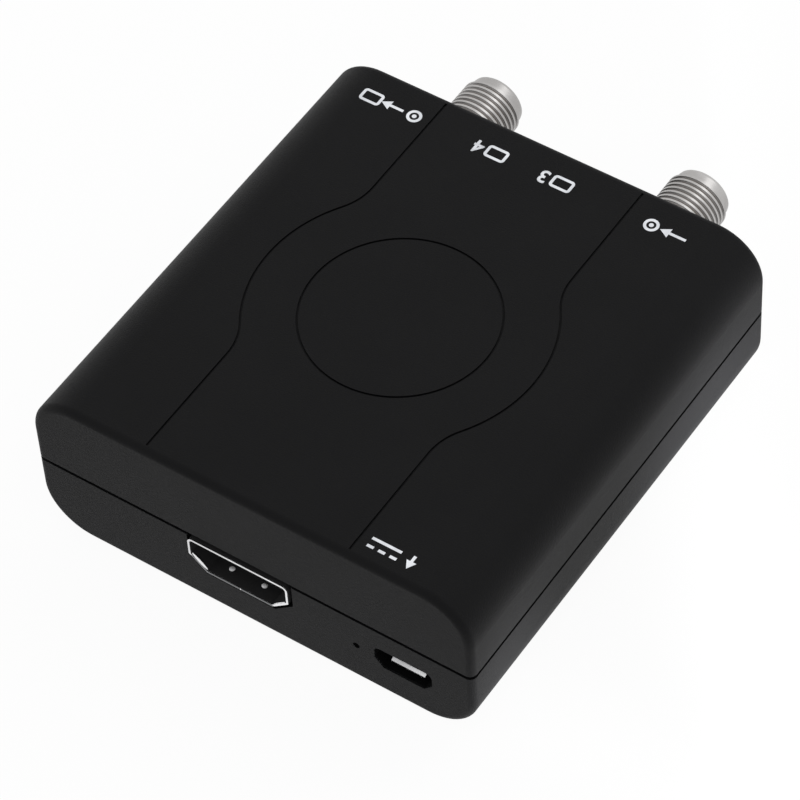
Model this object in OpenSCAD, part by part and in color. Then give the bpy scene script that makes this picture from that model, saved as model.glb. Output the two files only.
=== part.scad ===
// A converter box that puts a digital picture on an aerial lead.
// The origin is the centre of the underside. X runs to the right seen from the front,
// Y runs from the front ports to the back sockets, and Z is up. Sizes are in millimetres.

/* [Case] */
// Width of the case from side to side
case_w = 65; // [62:0.5:72]
// Depth of the case from its front face to its back face
case_d = 68.2; // [66:0.2:76]
// Height of the closed case
case_h = 25; // [23.5:0.5:30]
// Radius of the four long edges
edge_r = 7; // [5:0.5:7.5]
// Rounding of the rims round the front and back faces
rim_r = 1; // [0.6:0.1:1.4]
// Wall of both shells
wall = 2; // [1.7:0.1:2.4]
// Height of the parting line above the underside
seam_z = 12.25; // [12:0.25:14]
// Height of the shadow gap between the shells
seam_gap = 0.55; // [0.3:0.05:0.6]

/* [Top lines] */
// Width of the fine grooves in the top
groove_w = 0.3; // [0.2:0.05:0.5]
// Depth of the fine grooves in the top
groove_depth = 0.25; // [0.15:0.05:0.5]
// Radius of the round groove in the middle of the top
ring_r = 12.85; // [10:0.5:14]
// Radius of the bulge of the two long grooves, about the same centre
bulge_r = 19.9; // [17:0.5:22]
// Distance of the straight ends of the long grooves from the middle
line_x = 14.9; // [12:0.5:16]
// Radius of the blend between a straight end and the bulge
blend_r = 8.5; // [5:0.5:10]

/* [Circuit board] */
// Height of the board's underside above the underside of the case
board_z = 4.4; // [4:0.1:4.8]
// Thickness of the board
board_t = 1.6; // [1.2:0.1:1.6]

/* [Screws] */
// Spacing of the case screws from side to side
screw_span_x = 45; // [42:0.5:47]
// Spacing of the case screws from front to back
screw_span_y = 38; // [36:0.5:40]
// Radius of the screw shank
screw_r = 1.25; // [1:0.05:1.4]
// Length of the screw below its head
screw_l = 11; // [8:0.5:14]

/* [Front ports] */
// Place of the picture port across the front
video_x = -1.95; // [-4:0.05:0]
// Width of the picture port's metal shell
video_w = 15; // [14.5:0.1:15.5]
// Height of the picture port's metal shell
video_h = 5.4; // [5.2:0.1:5.5]
// How far the picture port stands out of the front face
video_proud = 0.2; // [0:0.05:0.6]
// Distance of the power port's middle from the right side of the case
power_from_side = 10.25; // [9.5:0.25:12.5]
// Width of the power port's metal shell
power_w = 7.5; // [7.2:0.1:7.6]
// Height of the power port's metal shell
power_h = 2.45; // [2.3:0.05:2.5]
// Depth of the power port's lips behind the front face
power_recess = 1; // [0.6:0.1:1.2]
// Distance of the lamp hole from the power port's middle
lamp_from_power = 6.85; // [6.25:0.1:8.25]
// Radius of the lamp hole
lamp_hole_r = 0.48; // [0.4:0.02:0.8]

/* [Back sockets] */
// Distance of each coax socket from the middle
socket_x = 15.95; // [15:0.05:17]
// Height of the sockets' axis above the board
socket_lift = 7.15; // [7:0.05:8]
// Reach of the sockets beyond the back face
socket_reach = 12.5; // [10:0.1:14]
// Radius over the crests of the socket thread
thread_r = 4.4; // [4.3:0.05:4.75]
// Depth of the socket thread
thread_depth = 0.32; // [0.3:0.01:0.5]
// Pitch of the socket thread
thread_pitch = 0.794; // [0.75:0.01:1]
// Radius of the plain ring at a socket's tip
tip_r = 3.95; // [3.8:0.05:4.2]
// Length of the plain ring at a socket's tip
tip_l = 1.6; // [1:0.1:2.5]

/* [Channel switch] */
// Place of the channel switch across the back
switch_x = -0.8; // [-2:0.1:1]
// Travel of the knob from one channel to the other
switch_travel = 2; // [1.5:0.1:2.2]
// How far the knob stands out of the back face
knob_proud = 0.8; // [0.2:0.1:2]

/* [Hidden] */
$fn = 64;

// Every cut runs this far past the face that it opens
overrun = 0.5;
// Gap round metal legs in the board's holes, and round moulded parts in their shells
leg_gap = 0.15;
mould_gap = 0.05;
// Length of the metal legs that shows under the board
leg_out = 1;

// Case: faces, inside and the lip that locates one shell in the other
front_y = -case_d / 2;
back_y = case_d / 2;
inside_w = case_w - 2 * wall;
inside_d = case_d - 2 * wall;
inside_back_y = inside_d / 2;
lower_rim_z = seam_z - seam_gap / 2;
upper_rim_z = seam_z + seam_gap / 2;
lip_t = 0.9;
lip_gap = 0.1;
lip_h = 1.6;
lip_top_z = upper_rim_z + lip_h;

// Board and the posts that hold it
board_side_gap = 1.5;
board_end_gap = 0.5;
board_w = inside_w - 2 * board_side_gap;
board_d = inside_d - 2 * board_end_gap;
board_corner_r = 1;
board_top_z = board_z + board_t;
board_back_y = board_d / 2;
boss_r = 2.75;
boss_wall = 1;
screw_hole_gap = 0.25;
pilot_gap = 0.05;
pilot_spare = 1;

// Screws: pan head with a cross slot, sunk in the underside
head_r = 2.3;
head_h = 1.6;
head_sink = 2.2;
head_gap = 0.3;
lower_boss_r = head_r + head_gap + boss_wall;
slot_l = 2.6;
slot_w = 0.55;
slot_depth = 0.9;

// Picture port
video_t = 0.3;
video_lift = 0.2;
video_foot_w = 9.9;
video_flank_h = 2.25;
video_corner_r = 0.8;
video_d = 12;
video_gap = 0.55;
video_left_gap = 0.12;
video_z = board_top_z + video_lift;
video_front_y = front_y - video_proud;
video_back_y = video_front_y + video_d;
video_leg_l = 1.2;
video_leg_front = 5;
video_leg_back = 1.5;
video_block_d = 5;
video_heel_d = 0.8;
video_tongue_w = 10.8;
video_tongue_t = 1.2;
video_tongue_z = video_z + video_h / 2 - video_tongue_t / 2;
video_tongue_recess = 1.6;
video_pitch = 1;
video_upper_contacts = 10;
video_lower_contacts = 9;
video_contact_w = 0.3;
video_dimple_r = 0.42;
video_dimple_h = 0.18;
video_dimple_span = 4.92;
video_dimple_recess = 1.75;
video_heel_y = video_back_y + video_heel_d;
video_tip_y = video_front_y + video_tongue_recess;

// Contacts of both ports: thickness, how far they stand off the tongue, and their feet
contact_t = 0.2;
contact_proud = 0.08;
contact_back = 0.6;
contact_foot_l = 0.8;

// Power port
power_x = case_w / 2 - power_from_side;
power_t = 0.25;
power_foot_w = 5.4;
power_flank_h = 0.9;
power_corner_r = 0.5;
power_d = 5;
power_lip_run = 0.5;
power_lip_rise = 0.3;
power_upper_lip_rise = 0.1;
power_side_lip_rise = 0.25;
power_mouth_y = front_y + power_recess + power_lip_run;
power_back_y = power_mouth_y + power_d;
power_tab_w = 0.9;
power_tab_l = 1.2;
power_opening_gap = 0.45;
power_opening_corner_r = 0.9;
power_opening_drop = 0.85;
power_opening_rise = 0.25;
power_block_d = 1.8;
power_heel_d = 0.5;
power_tongue_w = 4;
power_tongue_t = 0.7;
power_tongue_drop = 0.3;
power_tongue_recess = 0.7;
power_pitch = 0.65;
power_contact_count = 5;
power_contact_w = 0.3;
power_heel_y = power_back_y + power_heel_d;
power_tip_y = power_mouth_y + power_tongue_recess;
power_tongue_z = board_top_z + power_h - power_t - power_tongue_drop - power_tongue_t;

// Lamp behind its hole
lamp_x = power_x - lamp_from_power;
lamp_w = 2;
lamp_d = 1.3;
lamp_h = 1.5;
lamp_z_lift = 0.94;
lamp_lens_r = 0.55;
lamp_lens_l = 0.35;

// Coax sockets
socket_z = board_top_z + socket_lift;
socket_hole_gap = 0.3;
neck_r = 4.2;
crest_share = 0.42;
root_share = 0.14;
tip_round = 0.55;
tip_steps = 3;
bore_r = 2.8;
block_w = 11;
block_top = 5.5;
block_d = 9;
block_front_y = inside_back_y - board_end_gap;
block_back_y = block_front_y - block_d;
block_wall = 1.6;
bore_end = block_back_y + block_wall - back_y;
socket_leg_r = 0.6;
socket_leg_inset = 1.2;
insulator_sink = 0.4;
insulator_face_t = 1.2;
pin_entry_r = 0.6;
spring_r = 0.95;
spring_bore_r = 0.55;
spring_sink = 1.8;
tail_r = 0.4;
tail_hole_r = 1;
tail_back = 1.2;

// Channel switch
switch_w = 9;
switch_d = 4.4;
switch_h = 4.6;
switch_t = 0.4;
switch_wall_gap = 0.6;
switch_front_y = inside_back_y - switch_wall_gap;
switch_back_y = switch_front_y - switch_d;
switch_mid_z = board_top_z + switch_h / 2;
switch_leg_l = 1;
stem_w = 2;
stem_h = 1.8;
slide_gap = 0.2;
wall_slot_gap = 0.5;
carrier_w = 4;
carrier_h = 3.2;
carrier_d = 1.6;
carrier_gap = 0.1;
switch_base_t = 1;
terminal_w = 0.7;
terminal_t = 0.4;
terminal_pitch = 2;
pad_h = 1.4;
pad_proud = 0.15;
wiper_t = 0.2;
wiper_w = 3.4;
wiper_h = 1.2;
wiper_gap = 0.05;
knob_x = switch_x + switch_travel / 2;

// Shield, chips and small parts on the board
shield_w = 22;
shield_d = 18;
shield_h = 3.4;
shield_t = 0.3;
shield_y = 8;
shield_lid_gap = 0.05;
shield_skirt = 1.6;
shield_hole_r = 0.8;
chip_lift = 0.1;
lead_w = 0.3;
lead_t = 0.15;
lead_foot = 0.6;
lead_run = 1;
decoder_w = 10;
decoder_h = 1.4;
decoder_y = -12.6;
decoder_pitch = 0.8;
decoder_leads = 11;
tuner_w = 4.4;
tuner_d = 6.5;
tuner_h = 1.1;
tuner_x = -4;
tuner_pitch = 0.65;
tuner_leads = 8;
memory_w = 3.9;
memory_d = 4.9;
memory_h = 1.5;
memory_x = 11.5;
memory_pitch = 1.27;
memory_leads = 4;
regulator_w = 6.5;
regulator_d = 3.5;
regulator_h = 1.6;
regulator_x = 11.5;
regulator_y = -22.5;
regulator_pitch = 2.3;
regulator_leads = 3;
crystal_w = 4.7;
crystal_l = 11.4;
crystal_h = 3.6;
crystal_base = 0.4;
crystal_x = -14.5;
small_crystal_w = 2.5;
small_crystal_l = 3.2;
small_crystal_h = 0.8;
small_crystal_x = 5;
inductor_w = 5.2;
inductor_h = 2.8;
inductor_core_r = 1.9;
inductor_corner_r = 0.8;
inductor_x = 21.5;
inductor_y = -9;
capacitor_r = 3.15;
capacitor_h = 5.4;
capacitor_base_w = 6.6;
capacitor_base_h = 0.7;
capacitor_x = 21;
capacitor_y = 2;
capacitor_pitch = 8;
small_part_w = 1.6;
small_part_d = 0.8;
small_part_h = 0.5;
small_part_pitch = 2;
small_part_row = 6;

// Outline a by b with its four corners rounded by r, one corner at the origin
module rounded_outline(a, b, r) {
  translate([r, 0]) square([a - 2 * r, b]);
  translate([0, r]) square([a, b - 2 * r]);
  for (x = [r, a - r], y = [r, b - r]) translate([x, y]) circle(r);
}

// A round bar along Z, centred, with both rims rounded
module rounded_bar(r, l, rim) {
  rotate_extrude() {
    translate([0, -l / 2]) square([r - rim, l]);
    translate([0, -l / 2 + rim]) square([r, l - 2 * rim]);
    for (y = [-l / 2 + rim, l / 2 - rim]) translate([r - rim, y]) circle(rim);
  }
}

// A flat shape drawn in X and Z, run along Y from y0 to y1
module run_back(y0, y1) {
  translate([0, y1, 0]) rotate([90, 0, 0]) linear_extrude(y1 - y0) children();
}

// A flat shape drawn in Y and Z, w wide across X and centred at x
module across(x, w) {
  translate([x - w / 2, 0, 0]) rotate([90, 0, 90]) linear_extrude(w) children();
}

// Outer form of the closed case: four long rounded edges and softly rounded end rims
module case_form() {
  half_w = case_w / 2 - edge_r;
  for (x = [-half_w, half_w], z = [edge_r, case_h - edge_r])
    translate([x, 0, z]) rotate([90, 0, 0]) rounded_bar(edge_r, case_d, rim_r);
  translate([-half_w, front_y, 0]) rotate([90, 0, 90])
    linear_extrude(2 * half_w) rounded_outline(case_d, case_h, rim_r);
  translate([-case_w / 2, front_y, edge_r])
    linear_extrude(case_h - 2 * edge_r) rounded_outline(case_w, case_d, rim_r);
}

// The space inside the closed case
module case_hollow() {
  run_back(-inside_back_y, inside_back_y) translate([-inside_w / 2, wall])
    rounded_outline(inside_w, case_h - 2 * wall, edge_r - wall);
}

// A slab across the whole case between two heights
module level(z0, z1) {
  translate([-case_w, -case_d, z0]) cube([2 * case_w, 2 * case_d, z1 - z0]);
}

// A ring that stands on the inner face of the walls and runs t outwards
module wall_ring(t, z0, z1) {
  difference() {
    translate([-inside_w / 2 - t, -inside_back_y - t, z0])
      cube([inside_w + 2 * t, inside_d + 2 * t, z1 - z0]);
    translate([-inside_w / 2, -inside_back_y, z0 - overrun])
      cube([inside_w, inside_d, z1 - z0 + 2 * overrun]);
  }
}

// Puts its children at the four case screws
module at_screws() {
  for (x = [-1, 1], y = [-1, 1])
    translate([x * screw_span_x / 2, y * screw_span_y / 2, 0]) children();
}

// Outline of a port that is wide above and narrow below, drawn in by inset
function port_points(w, h, foot_w, flank_h, inset) =
  let (
    slope = atan2(flank_h, (w - foot_w) / 2),
    side = w / 2 - inset,
    foot = foot_w / 2 - inset * (1 - cos(slope)) / sin(slope),
    flank = flank_h + inset * (1 - sin(slope)) / cos(slope)
  )
  [[-side, h - inset], [side, h - inset], [side, flank],
   [foot, inset], [-foot, inset], [-side, flank]];

// The same outline as a shape, with its two upper corners rounded
module port_section(w, h, foot_w, flank_h, corner_r, inset) {
  intersection() {
    polygon(port_points(w, h, foot_w, flank_h, inset));
    translate([-w / 2 + inset, -h + inset])
      rounded_outline(w - 2 * inset, 2 * h - 2 * inset, corner_r - inset);
  }
}

module video_section(inset) {
  translate([video_x, video_z])
    port_section(video_w, video_h, video_foot_w, video_flank_h, video_corner_r, inset);
}

module power_section(inset) {
  translate([power_x, board_top_z])
    port_section(power_w, power_h, power_foot_w, power_flank_h, power_corner_r, inset);
}

// Outline of the picture port's hole, in which the port sits to the left
module video_hole_section() {
  intersection() {
    video_section(-video_gap);
    translate([video_x - video_w / 2 - video_left_gap, 0])
      square([video_w + video_left_gap + video_gap, case_h]);
  }
}

// The hole for the picture port, which runs up to the parting line
module video_opening() {
  y1 = -inside_back_y + overrun;
  z0 = video_z + video_h / 2;
  run_back(front_y - overrun, y1) video_hole_section();
  translate([video_x - video_w / 2 - video_left_gap, front_y - overrun, z0])
    cube([video_w + video_left_gap + video_gap, y1 - front_y + overrun, lip_top_z + overrun - z0]);
}

// The hole for the power port, wide above and narrow below like the port
module power_opening() {
  h = power_h + power_opening_drop + power_opening_rise;
  w = power_w + 2 * power_opening_gap;
  foot_w = power_foot_w + power_opening_gap;
  flank_h = power_flank_h + power_opening_gap;
  run_back(front_y - overrun, -inside_back_y + overrun)
    translate([power_x, board_top_z - power_opening_drop])
      port_section(w, h, foot_w, flank_h, power_opening_corner_r, 0);
}

module lamp_hole() {
  run_back(front_y - overrun, -inside_back_y + overrun)
    translate([lamp_x, board_top_z + lamp_z_lift]) circle(lamp_hole_r);
}

module socket_holes() {
  for (x = [-socket_x, socket_x])
    run_back(inside_back_y - overrun, back_y + overrun)
      translate([x, socket_z]) circle(thread_r + socket_hole_gap);
}

// The slot that the channel knob slides in
module knob_slot() {
  w = stem_w + switch_travel + 2 * wall_slot_gap;
  h = stem_h + 2 * wall_slot_gap;
  run_back(inside_back_y - overrun, back_y + overrun)
    translate([switch_x - w / 2, switch_mid_z - h / 2]) square([w, h]);
}

// One band of the top: the straight middle, the round bulge and the blends between them
module bulged_band(grow, l) {
  cx = line_x + blend_r;
  cy = sqrt(pow(bulge_r + blend_r, 2) - pow(cx, 2));
  square([2 * (line_x + grow), l], center = true);
  circle(bulge_r + grow);
  for (sx = [-1, 1], sy = [-1, 1]) difference() {
    polygon([[0, 0], [0, sy * cy], [sx * cx, sy * cy]]);
    translate([sx * cx, sy * cy]) circle(blend_r - grow);
  }
}

// The round groove and the two long grooves in the top
module top_grooves() {
  half = groove_w / 2;
  straight_l = case_d - 2 * rim_r;
  translate([0, 0, case_h - groove_depth]) linear_extrude(groove_depth + overrun) {
    difference() {
      bulged_band(half, straight_l);
      bulged_band(-half, straight_l + 2 * overrun);
    }
    difference() {
      circle(ring_r + half);
      circle(ring_r - half);
    }
  }
}

// Upper half of the case, with four posts that press the board down
module top_shell() {
  pilot_top_z = head_sink + screw_l + pilot_spare;
  color("#1c1c1e") difference() {
    union() {
      difference() {
        case_form();
        case_hollow();
        level(-overrun, upper_rim_z);
      }
      at_screws() translate([0, 0, board_top_z])
        cylinder(r = boss_r, h = case_h - wall / 2 - board_top_z);
    }
    wall_ring(lip_t + lip_gap, upper_rim_z - overrun, lip_top_z);
    top_grooves();
    socket_holes();
    run_back(front_y - overrun, -inside_back_y + overrun) video_hole_section();
    at_screws() translate([0, 0, board_top_z - overrun])
      cylinder(r = screw_r + pilot_gap, h = pilot_top_z - board_top_z + overrun);
  }
}

// Lower half of the case, with the port holes, a locating lip and four board bosses
module bottom_shell() {
  color("#1e1e20") difference() {
    union() {
      difference() {
        case_form();
        case_hollow();
        level(lower_rim_z, case_h + overrun);
      }
      wall_ring(lip_t, lower_rim_z - lip_t, lip_top_z);
      at_screws() translate([0, 0, wall / 2]) cylinder(r = lower_boss_r, h = board_z - wall / 2);
    }
    video_opening();
    power_opening();
    lamp_hole();
    socket_holes();
    knob_slot();
    at_screws() {
      translate([0, 0, -overrun]) cylinder(r = head_r + head_gap, h = head_sink + overrun);
      translate([0, 0, -overrun]) cylinder(r = screw_r + screw_hole_gap, h = board_z + 2 * overrun);
    }
  }
}

// Four self-tapping screws that come up through the lower shell and the board
module case_screws() {
  color("#8d8f92") at_screws() difference() {
    union() {
      translate([0, 0, head_sink - head_h]) cylinder(r = head_r, h = head_h);
      translate([0, 0, head_sink - head_h / 2]) cylinder(r = screw_r, h = screw_l + head_h / 2);
    }
    for (turn = [0, 90]) rotate(turn)
      translate([-slot_l / 2, -slot_w / 2, head_sink - head_h - overrun])
        cube([slot_l, slot_w, slot_depth + overrun]);
  }
}

// Places of the picture port's four legs, at its sides
module at_video_legs() {
  for (side = [-1, 1], y = [video_front_y + video_leg_front, video_back_y - video_leg_back])
    translate([video_x + side * (video_w - video_t) / 2, y, 0]) children();
}

// Places of the two legs of the switch frame
module at_switch_legs() {
  for (side = [-1, 1])
    translate([switch_x + side * (switch_w - switch_t) / 2, (switch_front_y + switch_back_y) / 2, 0])
      children();
}

// Places of the four cast legs under a socket
module at_socket_legs() {
  for (side = [-1, 1], y = [block_back_y + socket_leg_inset, block_front_y - socket_leg_inset])
    translate([side * (block_w / 2 - socket_leg_inset), y, 0]) children();
}

// A flat leg w by l, from height z down through the board
module flat_leg(w, l, z) {
  translate([-w / 2, -l / 2, board_z - leg_out]) cube([w, l, z - board_z + leg_out]);
}

// The printed circuit board, with a hole for every leg that passes through it
module circuit_board() {
  color("#1f5c38") difference() {
    translate([-board_w / 2, -board_back_y, board_z])
      linear_extrude(board_t) rounded_outline(board_w, board_d, board_corner_r);
    at_screws() translate([0, 0, board_z - overrun])
      cylinder(r = screw_r + screw_hole_gap, h = board_t + 2 * overrun);
    at_video_legs() flat_leg(video_t + 2 * leg_gap, video_leg_l + 2 * leg_gap, board_top_z + overrun);
    at_switch_legs() flat_leg(switch_t + 2 * leg_gap, switch_leg_l + 2 * leg_gap, board_top_z + overrun);
    for (i = [-1:1]) translate([switch_x + i * terminal_pitch, switch_back_y - terminal_t / 2, 0])
      flat_leg(terminal_w + 2 * leg_gap, terminal_t + 2 * leg_gap, board_top_z + overrun);
    for (x = [-socket_x, socket_x]) translate([x, 0, board_z - overrun]) {
      at_socket_legs() cylinder(r = socket_leg_r + leg_gap, h = board_t + 2 * overrun);
      translate([0, block_back_y - tail_back, 0])
        cylinder(r = tail_r + leg_gap, h = board_t + 2 * overrun);
    }
  }
}

// Folded shell of the picture port, with two spring dimples on its floor and four legs
module video_port_shell() {
  ball_r = (pow(video_dimple_r, 2) + pow(video_dimple_h, 2)) / (2 * video_dimple_h);
  color("#c9cacc") {
    difference() {
      run_back(video_front_y, video_back_y) video_section(0);
      run_back(video_front_y - overrun, video_back_y + overrun) video_section(video_t);
    }
    at_video_legs() flat_leg(video_t, video_leg_l, video_z + video_h / 2);
    intersection() {
      for (side = [-1, 1])
        translate([video_x + side * video_dimple_span / 2, front_y + video_dimple_recess,
                   video_z + video_t + video_dimple_h - ball_r]) sphere(ball_r);
      level(video_z + video_t / 2, video_z + video_h / 2);
    }
  }
}

// One contact seen from the side: along the tongue, out of the heel, down and back on the board
function contact_side(tip_y, run_z, heel_y) = [
  [tip_y, run_z],
  [tip_y, run_z + contact_t],
  [heel_y + contact_t, run_z + contact_t],
  [heel_y + contact_t, board_top_z + contact_t],
  [heel_y + contact_t + contact_foot_l, board_top_z + contact_t],
  [heel_y + contact_t + contact_foot_l, board_top_z],
  [heel_y, board_top_z],
  [heel_y, run_z]
];

module video_contact_row(count, run_z) {
  for (i = [0:count - 1])
    across(video_x + (i - (count - 1) / 2) * video_pitch, video_contact_w)
      polygon(contact_side(video_tip_y + contact_back, run_z, video_heel_y));
}

// The contacts of the picture port, in an upper and a lower row
module video_port_contacts() {
  color("#c8a24a") {
    video_contact_row(video_upper_contacts, video_tongue_z + video_tongue_t + contact_proud - contact_t);
    video_contact_row(video_lower_contacts, video_tongue_z - contact_proud);
  }
}

// Moulded body of the picture port: a block in the shell, a heel on the board, and the tongue
module video_port_tongue() {
  color("#18181a") difference() {
    union() {
      run_back(video_back_y - video_block_d, video_back_y) video_section(video_t + mould_gap);
      translate([video_x - video_foot_w / 2, video_back_y, board_top_z])
        cube([video_foot_w, video_heel_d, video_lift + video_h - video_t - mould_gap]);
      translate([video_x - video_tongue_w / 2, video_tip_y, video_tongue_z])
        cube([video_tongue_w, video_back_y - video_tip_y, video_tongue_t]);
    }
    video_port_contacts();
  }
}

// Folded shell of the power port, with flared lips at its mouth and a tab at each side
module power_port_shell() {
  top = board_top_z + power_h;
  lip_y = power_mouth_y - power_lip_run;
  side_z = board_top_z + power_flank_h + power_t;
  side_h = power_h - power_flank_h - power_corner_r - power_t;
  color("#cfd0d2") {
    difference() {
      run_back(power_mouth_y, power_back_y) power_section(0);
      run_back(power_mouth_y - overrun, power_back_y + overrun) power_section(power_t);
    }
    across(power_x, power_foot_w - 2 * power_t) polygon([
      [power_mouth_y, board_top_z], [power_mouth_y, board_top_z + power_t],
      [lip_y, board_top_z + power_t - power_lip_rise], [lip_y, board_top_z - power_lip_rise]]);
    across(power_x, power_foot_w) polygon([
      [power_mouth_y, top - power_t], [power_mouth_y, top],
      [lip_y, top + power_upper_lip_rise], [lip_y, top + power_upper_lip_rise - power_t]]);
    for (side = [-1, 1]) {
      face = power_x + side * power_w / 2;
      translate([0, 0, side_z]) linear_extrude(side_h) polygon([
        [face, power_mouth_y], [face - side * power_t, power_mouth_y],
        [face + side * (power_side_lip_rise - power_t), lip_y],
        [face + side * power_side_lip_rise, lip_y]]);
      translate([power_x + side * (power_foot_w + power_tab_w) / 2 - power_tab_w,
                 power_back_y - power_tab_l - power_t, board_top_z])
        cube([2 * power_tab_w, power_tab_l, power_t]);
    }
  }
}

// The contacts of the power port, under the tongue
module power_port_contacts() {
  color("#c8a24a") for (i = [0:power_contact_count - 1])
    across(power_x + (i - (power_contact_count - 1) / 2) * power_pitch, power_contact_w)
      polygon(contact_side(power_tip_y + contact_back, power_tongue_z - contact_proud, power_heel_y));
}

// Moulded body of the power port, with its thin tongue
module power_port_tongue() {
  color("#18181a") difference() {
    union() {
      run_back(power_back_y - power_block_d, power_back_y) power_section(power_t + mould_gap);
      translate([power_x - power_foot_w / 2, power_back_y, board_top_z])
        cube([power_foot_w, power_heel_d, power_h - power_t - mould_gap]);
      translate([power_x - power_tongue_w / 2, power_tip_y, power_tongue_z])
        cube([power_tongue_w, power_back_y - power_tip_y, power_tongue_t]);
    }
    power_port_contacts();
  }
}

// Lamp on the board, with its lens towards the hole in the front
module led_lamp() {
  y = -board_back_y + lamp_lens_l;
  color("#d9e6ef") {
    translate([lamp_x - lamp_w / 2, y, board_top_z]) cube([lamp_w, lamp_d, lamp_h]);
    run_back(-board_back_y, y) translate([lamp_x, board_top_z + lamp_z_lift]) circle(lamp_lens_r);
  }
}

// Half section of a socket along its axis: neck through the wall, thread and plain tip
function socket_profile() =
  let (
    root_r = thread_r - thread_depth,
    thread_end = socket_reach - tip_l,
    teeth = floor(thread_end / thread_pitch),
    start = thread_end - teeth * thread_pitch
  )
  concat(
    [[0, block_front_y - back_y - overrun], [neck_r, block_front_y - back_y - overrun],
     [neck_r, start], [root_r, start]],
    [for (i = [0:teeth - 1], p = [
        [root_r, root_share / 2],
        [thread_r, (1 - crest_share) / 2],
        [thread_r, (1 + crest_share) / 2],
        [root_r, 1 - root_share / 2]])
      [p[0], start + (i + p[1]) * thread_pitch]],
    [[root_r, thread_end], [tip_r, thread_end]],
    [for (i = [0:tip_steps])
      [tip_r - tip_round * (1 - cos(90 * i / tip_steps)),
       socket_reach - tip_round * (1 - sin(90 * i / tip_steps))]],
    [[0, socket_reach]]
  );

// A round bar along Y in a socket, between two distances from the back face
module socket_bar(r, from, to) {
  translate([0, back_y, socket_z]) rotate([-90, 0, 0]) translate([0, 0, from])
    cylinder(r = r, h = to - from);
}

// Cast body of a coax socket: a block on the board, four legs and the threaded barrel
module socket_barrel() {
  color("#a9abae") difference() {
    union() {
      translate([0, back_y, socket_z]) rotate([-90, 0, 0]) rotate_extrude() polygon(socket_profile());
      translate([-block_w / 2, block_back_y, board_top_z])
        cube([block_w, block_d, socket_lift + block_top]);
      at_socket_legs() translate([0, 0, board_z - leg_out])
        cylinder(r = socket_leg_r, h = board_t + leg_out + overrun);
    }
    socket_bar(bore_r, bore_end, socket_reach + overrun);
    socket_bar(tail_hole_r, bore_end - block_wall - overrun, bore_end + overrun);
  }
}

// Insulator that fills a socket's bore, with a small entry for the centre wire
module socket_insulator() {
  front = socket_reach - insulator_sink;
  color("#e8e6df") difference() {
    socket_bar(bore_r - mould_gap, bore_end, front);
    socket_bar(pin_entry_r, front - insulator_face_t - overrun, front + overrun);
    socket_bar(spring_r + mould_gap, bore_end - overrun, front - insulator_face_t);
  }
}

// Spring contact on a socket's axis, with a tail that bends down to the board
module socket_contact() {
  tail_y = block_back_y - tail_back;
  color("#c8a24a") {
    difference() {
      socket_bar(spring_r, bore_end + mould_gap, socket_reach - spring_sink);
      socket_bar(spring_bore_r, bore_end + block_wall, socket_reach);
    }
    socket_bar(tail_r, tail_y - back_y, bore_end + overrun);
    translate([0, tail_y, socket_z]) sphere(tail_r);
    translate([0, tail_y, board_z - leg_out])
      cylinder(r = tail_r, h = socket_z - board_z + leg_out);
  }
}

module rf_out_barrel() translate([-socket_x, 0, 0]) socket_barrel();
module rf_out_insulator() translate([-socket_x, 0, 0]) socket_insulator();
module rf_out_contact() translate([-socket_x, 0, 0]) socket_contact();
module rf_in_barrel() translate([socket_x, 0, 0]) socket_barrel();
module rf_in_insulator() translate([socket_x, 0, 0]) socket_insulator();
module rf_in_contact() translate([socket_x, 0, 0]) socket_contact();

// Folded metal frame of the channel switch, slotted for the knob and open behind
module switch_frame() {
  slot_long = stem_w + switch_travel + 2 * slide_gap;
  slot_high = stem_h + 2 * slide_gap;
  color("#bfc1c4") {
    difference() {
      translate([switch_x - switch_w / 2, switch_back_y, board_top_z])
        cube([switch_w, switch_d, switch_h]);
      translate([switch_x - switch_w / 2 + switch_t, switch_back_y - overrun, board_top_z + switch_t])
        cube([switch_w - 2 * switch_t, switch_d - switch_t + overrun, switch_h - 2 * switch_t]);
      translate([switch_x - slot_long / 2, switch_front_y - switch_t - overrun,
                 switch_mid_z - slot_high / 2])
        cube([slot_long, switch_t + 2 * overrun, slot_high]);
    }
    at_switch_legs() flat_leg(switch_t, switch_leg_l, board_top_z + switch_t);
  }
}

// Three terminals: a pad inside the switch, and a leg down through the board
module switch_terminals() {
  color("#c8a24a") for (i = [-1:1])
    across(switch_x + i * terminal_pitch, terminal_w) polygon([
      [switch_back_y + switch_base_t + pad_proud, switch_mid_z - pad_h / 2],
      [switch_back_y + switch_base_t + pad_proud, switch_mid_z + pad_h / 2],
      [switch_back_y - terminal_t, switch_mid_z + pad_h / 2],
      [switch_back_y - terminal_t, board_z - leg_out],
      [switch_back_y, board_z - leg_out],
      [switch_back_y, switch_mid_z - pad_h / 2]]);
}

// Base plate that closes the back of the switch and carries the terminals
module switch_base() {
  side = switch_t + mould_gap;
  color("#6b4a2c") difference() {
    translate([switch_x - switch_w / 2 + side, switch_back_y, board_top_z + switch_t])
      cube([switch_w - 2 * side, switch_base_t, switch_h - 2 * switch_t]);
    switch_terminals();
  }
}

// The knob: a carrier inside the frame and a stem that comes out through the back face
module switch_knob() {
  carrier_y = switch_front_y - switch_t - carrier_gap - carrier_d;
  color("#151517") {
    translate([knob_x - carrier_w / 2, carrier_y, switch_mid_z - carrier_h / 2])
      cube([carrier_w, carrier_d, carrier_h]);
    translate([knob_x - stem_w / 2, carrier_y, switch_mid_z - stem_h / 2])
      cube([stem_w, back_y + knob_proud - carrier_y, stem_h]);
  }
}

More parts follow.
